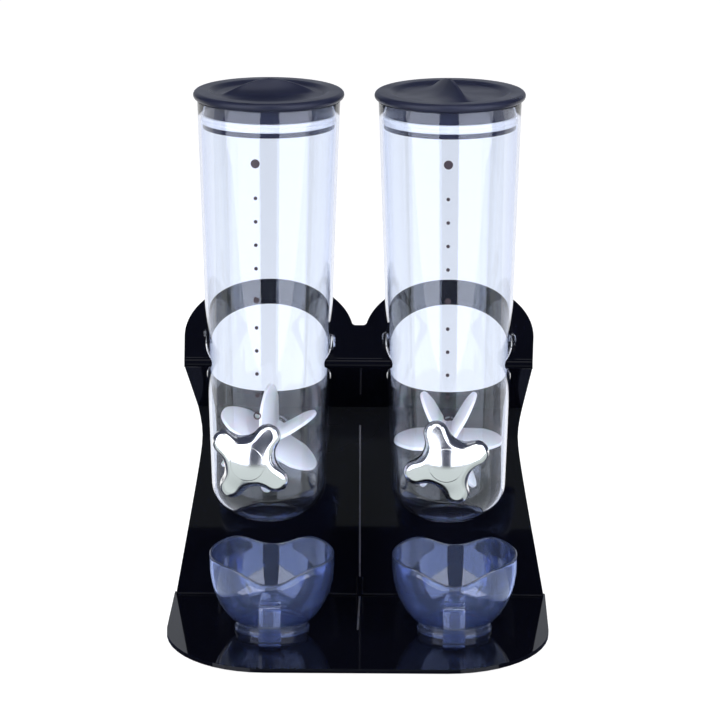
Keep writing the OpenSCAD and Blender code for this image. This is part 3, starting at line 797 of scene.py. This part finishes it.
def build_cup(side):
    """Clear scoop cup: one shell with a wavy rounded rim, a stepped foot ring and a strap handle."""
    place = Matrix.Translation((middle("cup_" + side.name).x, cup_y(side), base_high.z))
    segments = 160
    bm = bmesh.new()
    angles = [2 * math.pi * i / segments for i in range(segments)]
    floor = FOOT_H + CUP_FLOOR_T
    foot_in, foot_step = FOOT_R - FOOT_T, FOOT_R - FOOT_STEP

    def level(radius, z):
        return [bm.verts.new(place @ Vector((radius * math.cos(a), radius * math.sin(a), z))) for a in angles]

    rings = [[bm.verts.new(place @ Vector((0, 0, FOOT_H)))], level(FOOT_R - 3.4 * MM, FOOT_H)]
    rings += [level(r, z) for r, z in rounded(
        [(foot_in, FOOT_H, 0.8 * MM), (foot_in, 0, 0.5 * MM), (FOOT_R, 0, 0.6 * MM),
         (FOOT_R, 2.4 * MM, 0.3 * MM), (foot_step, 2.7 * MM, 0.2 * MM),
         (foot_step, FOOT_H, 0.4 * MM)], closed=False, steps=3)]
    start = FOOT_H + 0.8 * MM

    def wall_ring(share, inset, base_z):
        ring = []
        for a in angles:
            top = rim_height(a) - CUP_WALL / 2
            z = base_z + (top - base_z) * share
            r = cup_radius(z) - inset
            ring.append(bm.verts.new(place @ Vector((r * math.cos(a), r * math.sin(a), z))))
        return ring

    rings += [wall_ring(k / CUP_RINGS, 0, start) for k in range(CUP_RINGS + 1)]
    for k in range(1, RIM_RINGS):
        lean = math.pi * k / RIM_RINGS
        ring = []
        for a in angles:
            z = rim_height(a) - CUP_WALL / 2 * (1 - math.sin(lean))
            r = cup_radius(rim_height(a)) - CUP_WALL / 2 * (1 - math.cos(lean))
            ring.append(bm.verts.new(place @ Vector((r * math.cos(a), r * math.sin(a), z))))
        rings.append(ring)
    rings += [wall_ring(k / CUP_RINGS, CUP_WALL, floor) for k in range(CUP_RINGS, -1, -1)]
    inner = cup_radius(floor) - CUP_WALL
    rings += [level(inner - 1.2 * MM, floor - 0.5 * MM), level(inner * 0.5, floor - 0.6 * MM)]
    rings.append([bm.verts.new(place @ Vector((0, 0, floor - 0.6 * MM)))])
    ring_surface(bm, rings)
    cup = finish_mesh("cup_scoop_" + side.name, bm)
    join_solids(cup, [build_handle(place)])
    cup.visible_shadow = False
    dress(cup, CUP, "cup_body_" + side.name, ["cup_" + side.name])


def cup_y(side):
    """The cup's box runs from its handle to its back, so its axis is one rim radius before the back."""
    _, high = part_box("cup_" + side.name)
    return high[1] - CUP_R


def build_handle(place):
    """A flat strap that leaves the bowl, turns down and comes back to the foot."""
    front = CUP_R + HANDLE_OUT
    low = 0.8 * MM
    upper_end = cup_radius(HANDLE_H - HANDLE_T / 2) - 1.1 * MM
    lower_end = FOOT_R - 1.2 * MM
    inner_bend, outer_bend = 2.5 * MM, 4 * MM
    outline = rounded([
        (upper_end, HANDLE_H, 0), (upper_end, HANDLE_H - HANDLE_T, 0),
        (front - HANDLE_T, HANDLE_H - HANDLE_T, inner_bend), (front - HANDLE_T, low + HANDLE_T, inner_bend),
        (lower_end, low + HANDLE_T, 0), (lower_end, low, 0),
        (front, low, outer_bend), (front, HANDLE_H, outer_bend)])
    upright = Matrix.Rotation(-math.pi / 2, 4, "Z") @ Matrix.Rotation(math.pi / 2, 4, "X")
    return slab("handle", outline, -HANDLE_W / 2, HANDLE_W / 2, 0.5 * MM, place @ upright, steps=3)


# ---------- CAD nodes that keep their shape ----------

def dress_nodes():
    """Gives the carried-over CAD nodes their finish, with a small round on their crisp edges."""
    kinds = {"base_plate": (STAND, 0.5), "back_panel": (STAND, 0.5), "base_screws": (STEEL, 0.15),
             "foot_pad": (PAD, 0.3), "front_bush": (BUSH, 0.2), "rear_bush": (BUSH, 0.2),
             "shaft": (SHAFT, 0.2), "knob_screw": (STEEL, 0.15)}
    for name, node in frame["nodes"].items():
        for prefix, (material, edge) in kinds.items():
            if name.startswith(prefix):
                wear(node, material)
                soften_edges(node, edge * MM)


PANEL_SET_BACK = 7 * MM     # from the panel's front face to the base's back edge
SEAM_HALF = 0.7 * MM
SEAM_SUNK = 0.1 * MM        # under the faces it runs along
SEAM_T = 0.3 * MM
SEAM_TOP = 126 * MM         # how far it runs up the panel, and forward over the base
SEAM_FRONT = 94 * MM


def build_seam():
    """A slim bead that closes the groove down the middle of the panel and the base; its grey is a painted
    highlight along the line.
    """
    face_y = base_high.y - PANEL_SET_BACK
    section = [(-SEAM_HALF, SEAM_SUNK + SEAM_T), (-SEAM_HALF * 0.6, SEAM_SUNK),
               (SEAM_HALF * 0.6, SEAM_SUNK), (SEAM_HALF, SEAM_SUNK + SEAM_T)]
    heights = (base_high.z + 2.4 * MM, base_high.z + SEAM_TOP)
    depths = (face_y - SEAM_FRONT, face_y - 3 * MM)
    bm = bmesh.new()
    upright = [[bm.verts.new((x, face_y + d, z)) for x, d in section] for z in heights]
    flat = [[bm.verts.new((x, y, base_high.z - d)) for x, d in section] for y in depths]
    for rings, inwards in ((upright, Vector((0, SEAM_T, 0))), (flat, Vector((0, 0, -SEAM_T)))):
        back = [[bm.verts.new(v.co + inwards) for v in (ring[0], ring[-1])] for ring in rings]
        loops = [ring + [pair[1], pair[0]] for ring, pair in zip(rings, back)]
        ring_surface(bm, loops)
        bm.faces.new(loops[0])
        bm.faces.new(list(reversed(loops[1])))
    seam = finish_mesh("seam_bead", bm)
    dress(seam, SEAM_PAINTED_HIGHLIGHT, "stand")


# ---------- Stage ----------

FLOOR_HALF, FLOOR_NEAR, FLOOR_FAR = 12, -12, 14
TABLE_HALF, TABLE_Z = 1.4, 0.0005
TABLE_GLOW = (0.62, 0.69, 0.69)
SOFT_REACH = 1.5            # metres from the part to the tall soft cards
SOFT_SPANS = ((-1, 15, 74), (1, 17, 74))    # side, and the degrees from the front that a card spans


def level_card(name, x0, x1, near, far, z):
    return card(name, [(x0, near, z), (x1, near, z), (x1, far, z), (x0, far, z)])


def build_stage():
    """White floor, soft lights, and cards that only reflections see, as round a product table."""
    front, behind_y = base_low.y - 0.02, 0.3
    for name, near, far in (("floor_front", FLOOR_NEAR, front), ("floor_middle", front, behind_y),
                            ("floor_back", behind_y, FLOOR_FAR)):
        floor = level_card(name, -FLOOR_HALF, FLOOR_HALF, near, far, 0)
        finish = Finish(name).set(IOR=1.3, Roughness=0.8, Emission_Strength=0.95)
        finish.shader.inputs["Emission Color"].default_value = (1, 1, 1, 1)
        clouds = finish.noise(scale=2, detail=2)
        finish.feed(finish.ramp(clouds, [(0.2, (0.28, 0.28, 0.28)), (0.8, (0.3, 0.3, 0.3))]), "Base Color")
        floor.data.materials.append(finish.material)
        floor.visible_glossy = name == "floor_back"
        floor.visible_transmission = name != "floor_front"
    edge_y = base_low.y - 0.01
    for name, near, far, strength in (("table_near", -0.4, edge_y, 1.0), ("table_far", -0.62, -0.4, 0.45)):
        table = level_card(name, -TABLE_HALF, TABLE_HALF, near, far, TABLE_Z)
        glow(table, TABLE_GLOW, strength)
        table.visible_transmission = False
    for sign in (-1, 1):
        inner, outer = sign * (base_high.x + 0.01), sign * TABLE_HALF
        apron = level_card("table_side", inner, outer, edge_y, 0.05, TABLE_Z)
        glow(apron, TABLE_GLOW, 0.8)
        apron.visible_transmission = False
    glow(level_card("top_card", -0.6, 0.6, -1.1, -0.4, 1.5), (0.95, 0.97, 1.0), 2.5)
    behind = card("back_card", [(-1.5, 1.6, 0.12), (1.5, 1.6, 0.12), (1.5, 1.6, 1.6), (-1.5, 1.6, 1.6)])
    glow(behind, (0.85, 0.9, 1.0), 0.5)
    behind.visible_transmission = False
    for sign, start, end in SOFT_SPANS:
        left, right = [(sign * SOFT_REACH * math.sin(a), -SOFT_REACH * math.cos(a))
                       for a in (math.radians(start), math.radians(end))]
        soft = card("soft_card", [(*left, -0.9), (*right, -0.9), (*right, 1.6), (*left, 1.6)])
        glow(soft, (0.84, 0.88, 1.0), 3.2)

    world = bpy.data.worlds.new("studio")
    bpy.context.scene.world = world
    world.use_nodes = True
    background = world.node_tree.nodes["Background"]
    background.inputs["Color"].default_value = (0.045, 0.052, 0.085, 1)
    background.inputs["Strength"].default_value = 1.0
    add_light("key_left", (-1.3, -2.2, 1.9), (0, 0, 0.2), 0.5, 0.9, power=42)
    add_light("key_right", (1.3, -2.2, 1.9), (0, 0, 0.2), 0.5, 0.9, power=42)
    add_light("top", (0, 0.1, 2.4), (0, 0, 0), 1.6, 1.2, power=25)


def card(name, corners):
    bm = bmesh.new()
    bm.faces.new([bm.verts.new(corner) for corner in corners])
    piece = finish_mesh(name, bm)
    return piece


def glow(piece, colour, strength):
    """An evenly lit card that the camera and plain surfaces don't see."""
    finish = Finish(piece.name).set(Emission_Strength=strength, Roughness=1.0)
    finish.shader.inputs["Base Color"].default_value = (0, 0, 0, 1)
    finish.shader.inputs["Emission Color"].default_value = (*colour, 1)
    piece.data.materials.append(finish.material)
    piece.visible_camera = False
    piece.visible_diffuse = False
    piece.visible_shadow = False


def add_light(name, place, target, width, height, power):
    data = bpy.data.lights.new(name, "AREA")
    data.shape = "RECTANGLE"
    data.size, data.size_y = width, height
    data.energy = power
    light = bpy.data.objects.new(name, data)
    light.visible_glossy = False
    light.visible_transmission = False
    bpy.context.scene.collection.objects.link(light)
    light.location = place
    light.rotation_euler = (Vector(target) - Vector(place)).to_track_quat("-Z", "Y").to_euler()


# ---------- Build ----------

GRIP_TURNS = {"left": math.radians(12), "right": math.radians(-70)}
WHEEL_TURNS = {"left": 0.0, "right": math.radians(30)}
KNOB_TURNS = {"left": math.radians(35), "right": math.radians(71)}

make_camera()
build_stage()
dress_nodes()
build_seam()
for side in sides:
    build_canister(side)
    build_marks(side)
    build_lid(side, GRIP_TURNS[side.name])
    build_gasket(side)
    build_paddle(side, WHEEL_TURNS[side.name])
    build_knob(side, KNOB_TURNS[side.name])
    build_knob_cap(side)
    build_cup(side)

scene = bpy.context.scene
scene.view_settings.view_transform = "Standard"
scene.cycles.transparent_max_bounces = 24
scene.cycles.transmission_bounces = 16
scene.cycles.max_bounces = 20
